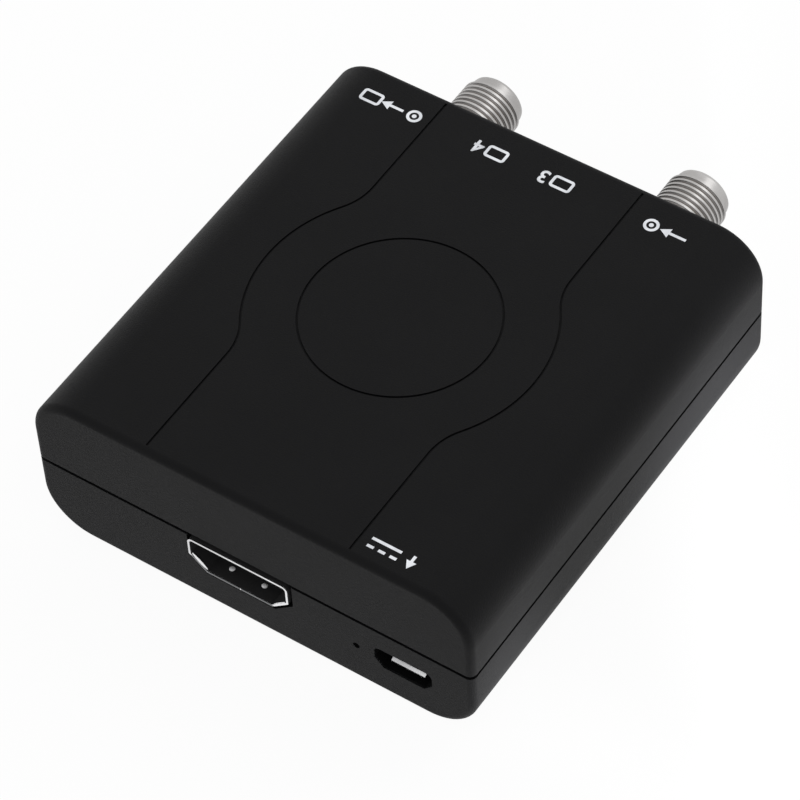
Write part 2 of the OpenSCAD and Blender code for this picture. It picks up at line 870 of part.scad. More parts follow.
// Bent contact strip behind the carrier, which bridges two of the three pads
module switch_wiper() {
  back = switch_front_y - switch_t - carrier_gap - carrier_d;
  pads = switch_back_y + switch_base_t + pad_proud + wiper_gap;
  half = wiper_w / 2;
  foot = terminal_pitch / 2;
  color("#d0b060") translate([knob_x, 0, switch_mid_z - wiper_h / 2]) linear_extrude(wiper_h)
    polygon([
      [-half, back], [half, back],
      [foot, pads], [foot - wiper_t, pads],
      [half - wiper_t, back - wiper_t], [wiper_t - half, back - wiper_t],
      [wiper_t - foot, pads], [-foot, pads]]);
}

// Soldered wall of the modulator's shield
module shield_frame() {
  color("#b9bbbe") translate([-shield_w / 2, shield_y - shield_d / 2, board_top_z]) difference() {
    cube([shield_w, shield_d, shield_h]);
    translate([shield_t, shield_t, -overrun])
      cube([shield_w - 2 * shield_t, shield_d - 2 * shield_t, shield_h + 2 * overrun]);
  }
}

// Lid that clips over the shield's wall, with one tuning hole
module shield_lid() {
  side = shield_t + shield_lid_gap;
  z = board_top_z + shield_h - shield_skirt;
  color("#c4c6c9") difference() {
    translate([-shield_w / 2 - side, shield_y - shield_d / 2 - side, z])
      cube([shield_w + 2 * side, shield_d + 2 * side, shield_skirt + shield_t]);
    translate([-shield_w / 2 - shield_lid_gap, shield_y - shield_d / 2 - shield_lid_gap, z - overrun])
      cube([shield_w + 2 * shield_lid_gap, shield_d + 2 * shield_lid_gap, shield_skirt + overrun]);
    translate([small_crystal_x, shield_y + shield_d / 4, z])
      cylinder(r = shield_hole_r, h = shield_skirt + shield_t + overrun);
  }
}

// A moulded chip body that sits a little above the board
module chip_body(x, y, w, d, h) {
  translate([x - w / 2, y - d / 2, board_top_z + chip_lift]) cube([w, d, h - chip_lift]);
}

// A row of gull-wing leads on one side of a chip; body_face is that side's distance from its middle
module lead_row(count, pitch, body_face, h) {
  mid = h / 2;
  for (i = [0:count - 1]) translate([(i - (count - 1) / 2) * pitch, 0, board_top_z])
    across(0, lead_w) polygon([
      [body_face, mid], [body_face, mid + lead_t],
      [body_face + lead_run - lead_foot + lead_t, mid + lead_t],
      [body_face + lead_run - lead_foot + lead_t, lead_t],
      [body_face + lead_run, lead_t], [body_face + lead_run, 0],
      [body_face + lead_run - lead_foot, 0], [body_face + lead_run - lead_foot, mid]]);
}

// The leads of all four chips
module chip_leads() {
  color("#c2c4c6") {
    translate([video_x, decoder_y, 0]) for (turn = [0:90:270]) rotate(turn)
      lead_row(decoder_leads, decoder_pitch, decoder_w / 2, decoder_h);
    translate([tuner_x, shield_y, 0]) for (turn = [90, 270]) rotate(turn)
      lead_row(tuner_leads, tuner_pitch, tuner_w / 2, tuner_h);
    translate([memory_x, decoder_y, 0]) for (turn = [90, 270]) rotate(turn)
      lead_row(memory_leads, memory_pitch, memory_w / 2, memory_h);
    translate([regulator_x, regulator_y, 0])
      lead_row(regulator_leads, regulator_pitch, regulator_d / 2, regulator_h);
  }
}

// Moulded bodies of the four chips
module video_chip() color("#202022") chip_body(video_x, decoder_y, decoder_w, decoder_w, decoder_h);
module modulator_chip() color("#202022") chip_body(tuner_x, shield_y, tuner_w, tuner_d, tuner_h);
module memory_chip() color("#202022") chip_body(memory_x, decoder_y, memory_w, memory_d, memory_h);
module voltage_regulator() color("#202022")
  chip_body(regulator_x, regulator_y, regulator_w, regulator_d, regulator_h);

// Round-ended metal can of the clock crystal, on its flat base
module clock_crystal() {
  base_w = crystal_w + 2 * crystal_base;
  base_l = crystal_l + 2 * crystal_base;
  color("#c7c8ca") translate([crystal_x, decoder_y, board_top_z]) {
    translate([-crystal_w / 2, -crystal_l / 2, 0])
      linear_extrude(crystal_h) rounded_outline(crystal_w, crystal_l, crystal_w / 2 - crystal_base);
    translate([-base_w / 2, -base_l / 2, 0])
      linear_extrude(crystal_base) rounded_outline(base_w, base_l, crystal_w / 2);
  }
}

module modulator_crystal() {
  color("#c7c8ca") translate([small_crystal_x - small_crystal_w / 2,
                              shield_y - small_crystal_l / 2, board_top_z])
    cube([small_crystal_w, small_crystal_l, small_crystal_h]);
}

// Ferrite inductor with its round core standing a little proud
module power_inductor() {
  color("#3a3a3c") translate([inductor_x, inductor_y, board_top_z]) {
    translate([-inductor_w / 2, -inductor_w / 2, 0])
      linear_extrude(inductor_h) rounded_outline(inductor_w, inductor_w, inductor_corner_r);
    cylinder(r = inductor_core_r, h = inductor_h + chip_lift);
  }
}

// Two electrolytic capacitors, each a can on a square plastic base
module power_capacitors() {
  color("#b4b6b8") for (i = [0, 1])
    translate([capacitor_x, capacitor_y + i * capacitor_pitch, board_top_z]) {
      translate([-capacitor_base_w / 2, -capacitor_base_w / 2, 0])
        cube([capacitor_base_w, capacitor_base_w, capacitor_base_h]);
      cylinder(r = capacitor_r, h = capacitor_h);
    }
}

module small_part(x, y) {
  translate([x - small_part_w / 2, y - small_part_d / 2, board_top_z])
    cube([small_part_w, small_part_d, small_part_h]);
}

// Small chip resistors and capacitors, in rows beside what they serve
module chip_parts() {
  row_l = (small_part_row - 1) * small_part_pitch;
  color("#b9a37c") for (i = [0:small_part_row - 1]) {
    along = i * small_part_pitch - row_l / 2;
    small_part(crystal_x - crystal_w / 2 - crystal_base - small_part_w, decoder_y + crystal_l / 4 + along);
    small_part(memory_x + memory_w / 2 + lead_run + small_part_w, decoder_y + along);
    small_part(tuner_x - tuner_w / 2 - lead_run - small_part_w, shield_y + along);
    small_part(small_crystal_x + small_crystal_w / 2 + small_part_w, shield_y + along);
    small_part(-capacitor_x, capacitor_y + along);
  }
}

top_shell();
bottom_shell();
case_screws();
circuit_board();
video_port_shell();
video_port_tongue();
video_port_contacts();
power_port_shell();
power_port_tongue();
power_port_contacts();
led_lamp();
rf_out_barrel();
rf_out_insulator();
rf_out_contact();
rf_in_barrel();
rf_in_insulator();
rf_in_contact();
switch_frame();
switch_base();
switch_terminals();
switch_knob();
switch_wiper();
shield_frame();
shield_lid();
modulator_chip();
modulator_crystal();
video_chip();
memory_chip();
voltage_regulator();
chip_leads();
clock_crystal();
power_inductor();
power_capacitors();
chip_parts();
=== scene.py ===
import math
import bpy
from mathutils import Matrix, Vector


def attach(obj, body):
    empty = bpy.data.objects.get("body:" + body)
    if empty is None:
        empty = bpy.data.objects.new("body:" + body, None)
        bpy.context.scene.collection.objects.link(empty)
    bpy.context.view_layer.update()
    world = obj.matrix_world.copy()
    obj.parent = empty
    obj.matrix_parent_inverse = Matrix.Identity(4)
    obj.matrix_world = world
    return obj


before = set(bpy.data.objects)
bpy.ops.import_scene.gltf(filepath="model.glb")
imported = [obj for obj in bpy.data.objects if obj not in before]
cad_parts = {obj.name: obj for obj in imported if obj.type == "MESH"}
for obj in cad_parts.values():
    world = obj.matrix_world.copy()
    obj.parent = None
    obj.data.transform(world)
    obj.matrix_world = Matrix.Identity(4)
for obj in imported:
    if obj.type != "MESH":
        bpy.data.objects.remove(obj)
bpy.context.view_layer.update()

# The photograph's view, found by fitting the case's outline, its parting line, the round
# groove and the picture port. A long lens stands in front, at the right and well above.
view_place = (0.19629, -0.26267, 0.41194)
view_turn_degrees = (39.0442, 2.5640, 33.7440)
view_lens_mm = 184.152
film_mm = 36
view_near = 0.01
view_turn = [math.radians(angle) for angle in view_turn_degrees]
bpy.ops.object.camera_add(location=view_place, rotation=view_turn)
camera = bpy.context.object
camera.name = "camera"
camera.data.lens = view_lens_mm
camera.data.sensor_width = film_mm
camera.data.clip_start = view_near
bpy.context.scene.camera = camera
bpy.context.scene.view_settings.view_transform = "Standard"


# White card under the part and all round it. To the eye and in reflections it is plain
# white, and part of its own shading is kept so that the part's soft shadow stays on it.
card_size = 6
card_drop = 0.00005
card_white = (0.9, 0.9, 0.9, 1)
card_glow = 0.94
room_white = (1, 1, 1, 1)
room_light = 0.85


def deselect():
    """Leave nothing selected, so that only the next new piece is worked on"""
    bpy.ops.object.select_all(action="DESELECT")


def add(tree, kind, **settings):
    """Node of a kind in a tree, with its settings"""
    node = tree.nodes.new(kind)
    for key, value in settings.items():
        setattr(node, key, value)
    return node


def join(tree, source, target):
    """Link from an output to an input"""
    tree.links.new(source, target)


def work_out(tree, operation, first, second=0):
    """Result of one operation on two values, each of them an output or a plain number"""
    node = add(tree, "ShaderNodeMath", operation=operation)
    for socket, value in zip(node.inputs, (first, second)):
        if isinstance(value, (int, float)):
            socket.default_value = value
        else:
            join(tree, value, socket)
    return node.outputs[0]


def seen_directly(tree):
    """Mask that is 1 for rays from the eye, from a mirror or through glass"""
    ray = add(tree, "ShaderNodeLightPath")
    eye = ray.outputs["Is Camera Ray"]
    mirror = ray.outputs["Is Glossy Ray"]
    glass = ray.outputs["Is Transmission Ray"]
    return work_out(tree, "MAXIMUM", work_out(tree, "MAXIMUM", eye, mirror), glass)


deselect()
bpy.ops.mesh.primitive_plane_add(size=card_size, location=(0, 0, -card_drop))
card = bpy.context.object
card.name = "floor_card"
card_paint = bpy.data.materials.new("white_card")
card_paint.use_nodes = True
tree = card_paint.node_tree
tree.nodes.clear()
matt = add(tree, "ShaderNodeBsdfDiffuse")
matt.inputs["Color"].default_value = card_white
glow = add(tree, "ShaderNodeEmission")
blend = add(tree, "ShaderNodeMixShader")
surface = add(tree, "ShaderNodeOutputMaterial")
join(tree, work_out(tree, "MULTIPLY", seen_directly(tree), card_glow), blend.inputs["Fac"])
join(tree, matt.outputs[0], blend.inputs[1])
join(tree, glow.outputs[0], blend.inputs[2])
join(tree, blend.outputs[0], surface.inputs["Surface"])
card.data.materials.append(card_paint)

room = bpy.data.worlds.new("white_room")
bpy.context.scene.world = room
room.use_nodes = True
tree = room.node_tree
tree.nodes.clear()
seen_room = add(tree, "ShaderNodeBackground")
seen_room.inputs["Color"].default_value = room_white
soft_room = add(tree, "ShaderNodeBackground")
soft_room.inputs["Color"].default_value = room_white
soft_room.inputs["Strength"].default_value = room_light
blend = add(tree, "ShaderNodeMixShader")
surface = add(tree, "ShaderNodeOutputWorld")
join(tree, seen_directly(tree), blend.inputs["Fac"])
join(tree, soft_room.outputs[0], blend.inputs[1])
join(tree, seen_room.outputs[0], blend.inputs[2])
join(tree, blend.outputs[0], surface.inputs["Surface"])


# Three soft boxes: one high behind at the right, which draws the streak along the sockets, and
# two small low ones at the right that lighten the two ends of the case's right side.
low_box_size = 0.012


def soft_box(name, place, aim, size, watts, spread):
    """Square lamp at a place, turned towards a point, whose grid narrows its light"""
    bpy.ops.object.light_add(type="AREA", location=place)
    lamp = bpy.context.object
    lamp.name = name
    lamp.data.size = size
    lamp.data.energy = watts
    lamp.data.spread = math.radians(spread)
    lamp.rotation_euler = (Vector(place) - Vector(aim)).to_track_quat("Z", "Y").to_euler()
    lamp.visible_camera = False


soft_box(
    "lamp_high_back", place=(0.20, 0.45, 0.55), aim=(0, 0.02, 0.01),
    size=0.3, watts=0.58, spread=180)
soft_box(
    "lamp_right_back", place=(0.12, -0.09, 0.008), aim=(0.0325, 0.023, 0.006),
    size=low_box_size, watts=0.0155, spread=12)
soft_box(
    "lamp_right_front", place=(0.12, -0.03, 0.008), aim=(0.0325, -0.027, 0.006),
    size=low_box_size, watts=0.0035, spread=14)


# Lower case shell, moulded in black plastic. The mould is spark eroded, which leaves an
# even fine grain with a soft, low shine on every outer face.
case_black = (0.0028, 0.0028, 0.0032, 1)
case_black_worn = (0.0034, 0.0034, 0.0038, 1)
case_grain = 0.0002
case_relief = 0.00007
grain_detail = 3
grain_roughness = 0.6
cloud_share = 0.02
cloud_detail = 4
cloud_low = 0.35
cloud_high = 0.65


def effect(name, takes, gives):
    """Empty node group with named inputs and outputs, and its two end nodes"""
    tree = bpy.data.node_groups.new(name, "ShaderNodeTree")
    for label, kind in takes:
        tree.interface.new_socket(label, in_out="INPUT", socket_type=kind)
    for label, kind in gives:
        tree.interface.new_socket(label, in_out="OUTPUT", socket_type=kind)
    start = tree.nodes.new("NodeGroupInput")
    end = tree.nodes.new("NodeGroupOutput")
    return tree, start, end


# The fine grain of a moulded, sintered or plated surface, of a given grain size in metres
grain_tree, start, end = effect(
    "surface_grain",
    [("Place", "NodeSocketVector"), ("Grain Size", "NodeSocketFloat")],
    [("Grain", "NodeSocketFloat"), ("Clouds", "NodeSocketFloat")],
)
fine_scale = work_out(grain_tree, "DIVIDE", 1, start.outputs["Grain Size"])
coarse_scale = work_out(grain_tree, "MULTIPLY", fine_scale, cloud_share)
fine = add(grain_tree, "ShaderNodeTexNoise")
fine.inputs["Detail"].default_value = grain_detail
fine.inputs["Roughness"].default_value = grain_roughness
coarse = add(grain_tree, "ShaderNodeTexNoise")
coarse.inputs["Detail"].default_value = cloud_detail
spread = add(grain_tree, "ShaderNodeMapRange", interpolation_type="SMOOTHSTEP")
spread.inputs["From Min"].default_value = cloud_low
spread.inputs["From Max"].default_value = cloud_high
join(grain_tree, start.outputs["Place"], fine.inputs["Vector"])
join(grain_tree, fine_scale, fine.inputs["Scale"])
join(grain_tree, start.outputs["Place"], coarse.inputs["Vector"])
join(grain_tree, coarse_scale, coarse.inputs["Scale"])
join(grain_tree, coarse.outputs["Fac"], spread.inputs["Value"])
join(grain_tree, fine.outputs["Fac"], end.inputs["Grain"])
join(grain_tree, spread.outputs["Result"], end.inputs["Clouds"])


def grained(name, deep, pale, grain_size, relief, rough, metallic=0, level=0.5):
    """Material whose colour drifts from deep to pale, with a fine grain in relief and shine"""
    material = bpy.data.materials.new(name)
    material.use_nodes = True
    tree = material.node_tree
    skin = tree.nodes["Principled BSDF"]
    skin.inputs["Metallic"].default_value = metallic
    skin.inputs["Specular IOR Level"].default_value = level
    place = add(tree, "ShaderNodeTexCoord")
    grain = add(tree, "ShaderNodeGroup", node_tree=grain_tree)
    grain.name = "grain"
    grain.inputs["Grain Size"].default_value = grain_size
    colour = add(tree, "ShaderNodeMix", data_type="RGBA")
    colour.name = "colour"
    colour.inputs["A"].default_value = deep
    colour.inputs["B"].default_value = pale
    shine = add(tree, "ShaderNodeMapRange")
    shine.name = "shine"
    shine.inputs["To Min"].default_value = rough[0]
    shine.inputs["To Max"].default_value = rough[1]
    bump = add(tree, "ShaderNodeBump")
    bump.name = "bump"
    bump.inputs["Distance"].default_value = relief
    join(tree, place.outputs["Object"], grain.inputs["Place"])
    join(tree, grain.outputs["Clouds"], colour.inputs["Factor"])
    join(tree, grain.outputs["Grain"], shine.inputs["Value"])
    join(tree, grain.outputs["Grain"], bump.inputs["Height"])
    join(tree, colour.outputs["Result"], skin.inputs["Base Color"])
    join(tree, shine.outputs["Result"], skin.inputs["Roughness"])
    join(tree, bump.outputs["Normal"], skin.inputs["Normal"])
    return material


def dress(material, *names):
    """Give the named solids this material"""
    for name in names:
        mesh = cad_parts[name].data
        mesh.materials.clear()
        mesh.materials.append(material)


def coordinates(tree):
    """The three object coordinates of a point"""
    place = add(tree, "ShaderNodeTexCoord")
    split = add(tree, "ShaderNodeSeparateXYZ")
    join(tree, place.outputs["Object"], split.inputs[0])
    return split.outputs["X"], split.outputs["Y"], split.outputs["Z"]


def inside_box(tree, low, high):
    """Mask that is 1 inside a box given by two corners"""
    mask = 1
    for value, least, most in zip(coordinates(tree), low, high):
        over = work_out(tree, "GREATER_THAN", value, least)
        under = work_out(tree, "LESS_THAN", value, most)
        mask = work_out(tree, "MULTIPLY", mask, work_out(tree, "MULTIPLY", over, under))
    return mask


def lay_over(material, mask, values):
    """Change some of a material's inputs where the mask is 1"""
    tree = material.node_tree
    skin = tree.nodes["Principled BSDF"]
    for label, value in values.items():
        kind = "FLOAT" if isinstance(value, (int, float)) else "RGBA"
        laid = add(tree, "ShaderNodeMix", data_type=kind)
        if skin.inputs[label].links:
            join(tree, skin.inputs[label].links[0].from_socket, laid.inputs["A"])
        else:
            laid.inputs["A"].default_value = skin.inputs[label].default_value
        laid.inputs["B"].default_value = value
        join(tree, mask, laid.inputs["Factor"])
        join(tree, laid.outputs["Result"], skin.inputs[label])


# Behind the parting line and in the holes of the front little light comes back, so the plastic there
# is painted near black and fully rough as painted shade
seam_low = (-0.032, -0.0336, 0.0119)
seam_high = (0.032, 0.0336, 0.0126)
holes_low = (-0.011, -0.0338, 0.004)
holes_high = (0.0275, -0.025, 0.013)
seam_and_holes_painted_shade = {"Base Color": (0.0008, 0.0008, 0.0009, 1), "Roughness": 1.0}
case_plastic = grained(
    "case_plastic", case_black, case_black_worn,
    grain_size=case_grain, relief=case_relief, rough=(0.42, 0.62), level=0.1)
lay_over(case_plastic, inside_box(case_plastic.node_tree, seam_low, seam_high), seam_and_holes_painted_shade)
lay_over(case_plastic, inside_box(case_plastic.node_tree, holes_low, holes_high), seam_and_holes_painted_shade)
dress(case_plastic, "bottom_shell")


# Circuit board of glass laminate under green solder mask, which lies on the lower shell's
# posts. Copper tracks show through the mask as slightly paler, raised lines.
mask_green = (0.008, 0.075, 0.028, 1)
mask_pale = (0.02, 0.16, 0.06, 1)
track_pitch = 0.0013
track_gap_share = 0.62
track_patch = 0.0052
track_relief = 0.00003
even_chance = 0.5


def stripes(tree, value, pitch):
    """Lines along one coordinate, each after the gap that opens its pitch"""
    step = work_out(tree, "FRACT", work_out(tree, "DIVIDE", value, pitch))
    return work_out(tree, "GREATER_THAN", step, track_gap_share)


solder_mask = grained(
    "solder_mask", mask_green, mask_pale,
    grain_size=0.0003, relief=track_relief, rough=(0.2, 0.34))
tree = solder_mask.node_tree
place = add(tree, "ShaderNodeTexCoord")
patch = add(tree, "ShaderNodeVectorMath", operation="SNAP")
patch.inputs[1].default_value = (track_patch, track_patch, 1)
join(tree, place.outputs["Object"], patch.inputs[0])
turn = add(tree, "ShaderNodeTexWhiteNoise")
join(tree, patch.outputs[0], turn.inputs["Vector"])
x, y = coordinates(tree)[:2]
tracks = add(tree, "ShaderNodeMix")
join(tree, work_out(tree, "GREATER_THAN", turn.outputs["Value"], even_chance), tracks.inputs["Factor"])
join(tree, stripes(tree, x, track_pitch), tracks.inputs["A"])
join(tree, stripes(tree, y, track_pitch), tracks.inputs["B"])
join(tree, tracks.outputs["Result"], tree.nodes["colour"].inputs["Factor"])
join(tree, tracks.outputs["Result"], tree.nodes["bump"].inputs["Height"])
dress(solder_mask, "circuit_board")


# Picture port: a shell folded from thin tinned steel and soldered to the board. Drawing
# lines run along the sheet, and the fold's butt seam shows in the middle of the floor.
tin_pale = (0.72, 0.72, 0.73, 1)
tin_grey = (0.5, 0.5, 0.51, 1)
tin_bright = (0.86, 0.86, 0.87, 1)
tin_painted_shade = (0.16, 0.16, 0.165, 1)
tin_highlight_pale = (0.8, 0.8, 0.81, 1)
seam_place = -0.0018
seam_half = 0.00006
sheet_run = (1, 0.04, 1)
sheet_line = 0.00012
line_detail = 2

drawn_tree, start, end = effect(
    "drawing_lines",
    [("Place", "NodeSocketVector"), ("Run", "NodeSocketVector"), ("Line Width", "NodeSocketFloat")],
    [("Lines", "NodeSocketFloat")],
)
pull = add(drawn_tree, "ShaderNodeVectorMath", operation="MULTIPLY")
lines = add(drawn_tree, "ShaderNodeTexNoise")
lines.inputs["Detail"].default_value = line_detail
line_scale = work_out(drawn_tree, "DIVIDE", 1, start.outputs["Line Width"])
join(drawn_tree, start.outputs["Place"], pull.inputs[0])
join(drawn_tree, start.outputs["Run"], pull.inputs[1])
join(drawn_tree, pull.outputs[0], lines.inputs["Vector"])
join(drawn_tree, line_scale, lines.inputs["Scale"])
join(drawn_tree, lines.outputs["Fac"], end.inputs["Lines"])


def draw_out(material, run, line_width):
    """Put drawing lines on a metal, short across its run and long along it"""
    tree = material.node_tree
    place = add(tree, "ShaderNodeTexCoord")
    lines = add(tree, "ShaderNodeGroup", node_tree=drawn_tree)
    lines.inputs["Run"].default_value = run
    lines.inputs["Line Width"].default_value = line_width
    join(tree, place.outputs["Object"], lines.inputs["Place"])
    join(tree, lines.outputs["Lines"], tree.nodes["shine"].inputs["Value"])
    join(tree, lines.outputs["Lines"], tree.nodes["bump"].inputs["Height"])


throat_low = (-0.01, -0.03418, 0.006)
throat_high = (0.006, -0.0318, 0.0125)
hollow_low = (-0.0093, -0.0319, 0.0064)
hollow_high = (0.0054, -0.0232, 0.0114)
dimples_low = (-0.0049, -0.0329, 0.00652)
dimples_high = (0.001, -0.0318, 0.0068)
sill_low = (-0.01, -0.035, 0.006)
sill_high = (0.006, -0.0341, 0.0065)
flank_low = (-0.0096, -0.035, 0.0065)
flank_high = (-0.0066, -0.0341, 0.0083)
nick_low = (seam_place - seam_half, sill_low[1], sill_low[2])
nick_high = (seam_place + seam_half, sill_high[1], sill_high[2])
# Painted shade: the inside of the picture port's throat and hollow, and of the power port's cavity, is
# painted near black and not metallic
inside_painted_shade = {"Base Color": (0.002, 0.002, 0.0022, 1), "Roughness": 0.9, "Metallic": 0.0}
dimples_painted_highlight = {"Base Color": tin_highlight_pale, "Roughness": 0.5, "Metallic": 0.0}
tinned_steel = grained(
    "tinned_steel", tin_grey, tin_pale,
    grain_size=0.0002, relief=0.000004, rough=(0.2, 0.42), metallic=1)
draw_out(tinned_steel, sheet_run, sheet_line)
port_steel = grained(
    "port_steel", tin_pale, tin_bright,
    grain_size=0.0002, relief=0.000004, rough=(0.16, 0.34), metallic=1)
draw_out(port_steel, sheet_run, sheet_line)
tree = port_steel.node_tree
lay_over(port_steel, inside_box(tree, throat_low, throat_high), inside_painted_shade)
lay_over(port_steel, inside_box(tree, hollow_low, hollow_high), inside_painted_shade)
# Painted highlight: the floor's dimples are painted pale and not metallic, so they stay bright inside
# the painted shade
lay_over(port_steel, inside_box(tree, dimples_low, dimples_high), dimples_painted_highlight)
# Painted shade: the front edge of the floor, except at the butt seam, and the front of the lower left
# slanted corner are painted dim
sill = inside_box(tree, sill_low, sill_high)
nick = inside_box(tree, nick_low, nick_high)
lay_over(port_steel, work_out(tree, "SUBTRACT", sill, nick), {"Base Color": tin_painted_shade})
lay_over(port_steel, inside_box(tree, flank_low, flank_high), {"Base Color": tin_painted_shade})
dress(port_steel, "video_port_shell")


# The shell's two slanted lower corners are rolled in a little at the mouth, to lead the plug
# in. Each rolled lip is a slender bead along the inner edge, and the left one is the fuller.
corner_high = (-0.00945, 0.00845)
corner_low = (-0.0069, 0.0062)
port_middle = -0.00195
shell_wall = 0.0003
lip_front = -0.0343
lip_pale = (0.8, 0.8, 0.81, 1)
lip_bright = (0.9, 0.9, 0.91, 1)
bead_segments = 24
bead_rings = 16
bead_cut_share = 0.3
bead_smooth = math.radians(40)
slant = math.atan2(corner_high[1] - corner_low[1], corner_low[0] - corner_high[0])
lip_steel = grained(
    "lip_steel", lip_pale, lip_bright,
    grain_size=0.0002, relief=0.000004, rough=(0.16, 0.3), metallic=1)


def settle():
    """Apply the active piece's place, turn and scale to its mesh"""
    bpy.ops.object.transform_apply(location=True, rotation=True, scale=True)


def edit_all():
    """Open the active piece's mesh with all of it selected"""
    bpy.ops.object.mode_set(mode="EDIT")
    bpy.ops.mesh.select_all(action="SELECT")


def rolled_lip(name, side, half_length, half_width, half_depth):
    """Bead with its lower part cut off, on the inner face of one slanted corner"""
    x = (corner_high[0] + corner_low[0]) / 2 + math.sin(slant) * shell_wall
    z = (corner_high[1] + corner_low[1]) / 2 + math.cos(slant) * shell_wall
    if side > 0:
        x = 2 * port_middle - x
    deselect()
    bpy.ops.mesh.primitive_uv_sphere_add(
        segments=bead_segments, ring_count=bead_rings, radius=1, location=(0, 0, 0))
    lip = bpy.context.object
    lip.name = name
    lip.scale = (half_length, half_depth, half_width)
    settle()
    edit_all()
    bpy.ops.mesh.bisect(
        plane_co=(0, 0, -half_width * bead_cut_share), plane_no=(0, 0, 1),
        use_fill=True, clear_inner=True)
    bpy.ops.object.mode_set(mode="OBJECT")
    lip.rotation_euler = (0, -side * slant, 0)
    lip.location = (x, lip_front + half_depth, z)
    settle()
    bpy.ops.object.shade_smooth_by_angle(angle=bead_smooth)
    lip.data.materials.append(lip_steel)
    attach(lip, "case")


rolled_lip(
    "video_port_left_lip", side=-1, half_length=0.0015, half_width=0.00032, half_depth=0.0002)
rolled_lip(
    "video_port_right_lip", side=1, half_length=0.0012, half_width=0.00014, half_depth=0.00012)

port_black = (0.006, 0.006, 0.0065, 1)
port_black_pale = (0.011, 0.011, 0.012, 1)
port_plastic = grained(
    "port_plastic", port_black, port_black_pale,
    grain_size=0.00025, relief=0.000006, rough=(0.3, 0.45), level=0.25)
dress(port_plastic, "video_port_tongue")

gold_deep = (0.62, 0.40, 0.13, 1)
gold_pale = (0.86, 0.62, 0.26, 1)
contact_gold = grained(
    "contact_gold", gold_deep, gold_pale,
    grain_size=0.0001, relief=0.000003, rough=(0.16, 0.34), metallic=1)
dress(contact_gold, "video_port_contacts")


# Power port: a smaller folded shell set back in its slot, with flared lips that lead the
# plug in, a black moulded tongue and five spring contacts.
cavity_low = (0.0186, -0.0326, 0.006)
cavity_high = (0.0259, -0.0276, 0.0083)
power_steel = grained(
    "power_steel", tin_grey, tin_pale,
    grain_size=0.0002, relief=0.000004, rough=(0.2, 0.4), metallic=1)
draw_out(power_steel, sheet_run, sheet_line)
# Painted shade: the power port's cavity is painted near black
lay_over(power_steel, inside_box(power_steel.node_tree, cavity_low, cavity_high), inside_painted_shade)
dress(power_steel, "power_port_shell")
dress(port_plastic, "power_port_tongue")
dress(contact_gold, "power_port_contacts")


# Indicator lamp behind its small hole in the front, a clear resin block with a short lens
# and a milky core.
resin_deep = (0.62, 0.66, 0.68, 1)
resin_pale = (0.8, 0.84, 0.86, 1)
resin_clear = 0.55
lamp_resin = grained(
    "lamp_resin", resin_deep, resin_pale, grain_size=0.0004, relief=0.000002, rough=(0.12, 0.2))
lamp_resin.node_tree.nodes["Principled BSDF"].inputs["Transmission Weight"].default_value = resin_clear
dress(lamp_resin, "led_lamp")


# Coax sockets: cast zinc, cut with a fine thread and plated with satin nickel. The thread's
# roots are painted darker and brownish as painted shade, and the plain ring at the tip shows
# the cutter's marks.
nickel_pale = (0.5, 0.49, 0.482, 1)
nickel_grey = (0.4, 0.39, 0.382, 1)
root_painted_shade = (0.3, 0.272, 0.25, 1)
socket_side = 0.01595
socket_axis_z = 0.01315
root_r = 0.00408
crest_r = 0.00422
thread_end = 0.0449
socket_line = 0.00006
mark_detail = 2

turned_tree, start, end = effect(
    "turning_marks",
    [("Radius", "NodeSocketFloat"), ("Along", "NodeSocketFloat"), ("Line Width", "NodeSocketFloat")],
    [("Marks", "NodeSocketFloat")],
)
pair = add(turned_tree, "ShaderNodeCombineXYZ")
marks = add(turned_tree, "ShaderNodeTexNoise")
marks.inputs["Detail"].default_value = mark_detail
mark_scale = work_out(turned_tree, "DIVIDE", 1, start.outputs["Line Width"])
join(turned_tree, start.outputs["Radius"], pair.inputs["X"])
join(turned_tree, start.outputs["Along"], pair.inputs["Y"])
join(turned_tree, pair.outputs[0], marks.inputs["Vector"])
join(turned_tree, mark_scale, marks.inputs["Scale"])
join(turned_tree, marks.outputs["Fac"], end.inputs["Marks"])


def away_from(tree, value, centre, mirrored=False):
    """Distance along one coordinate from a centre, or from a pair of centres"""
    if mirrored:
        value = work_out(tree, "ABSOLUTE", value)
    return work_out(tree, "SUBTRACT", value, centre)


def radius_of(tree, first, second):
    """Distance from an axis, from the distances along two coordinates"""
    pair = add(tree, "ShaderNodeCombineXYZ")
    size = add(tree, "ShaderNodeVectorMath", operation="LENGTH")
    join(tree, first, pair.inputs["X"])
    join(tree, second, pair.inputs["Y"])
    join(tree, pair.outputs[0], size.inputs[0])
    return size.outputs["Value"]


def turn_marks(material, radius, along, line_width):
    """Put a cutter's round marks on a metal, from the distances off an axis and along it"""
    tree = material.node_tree
    marks = add(tree, "ShaderNodeGroup", node_tree=turned_tree)
    marks.inputs["Line Width"].default_value = line_width
    join(tree, radius, marks.inputs["Radius"])
    join(tree, along, marks.inputs["Along"])
    join(tree, marks.outputs["Marks"], tree.nodes["shine"].inputs["Value"])
    join(tree, marks.outputs["Marks"], tree.nodes["bump"].inputs["Height"])


satin_nickel = grained(
    "satin_nickel", nickel_grey, nickel_pale,
    grain_size=0.0001, relief=0.000004, rough=(0.32, 0.5), metallic=1)
tree = satin_nickel.node_tree
x, y, z = coordinates(tree)
radius = radius_of(
    tree, away_from(tree, x, socket_side, mirrored=True), away_from(tree, z, socket_axis_z))
height = add(tree, "ShaderNodeMapRange", interpolation_type="SMOOTHSTEP")
height.inputs["From Min"].default_value = root_r
height.inputs["From Max"].default_value = crest_r
height.inputs["To Min"].default_value = 1
height.inputs["To Max"].default_value = 0
join(tree, radius, height.inputs["Value"])
threaded = work_out(tree, "LESS_THAN", y, thread_end)
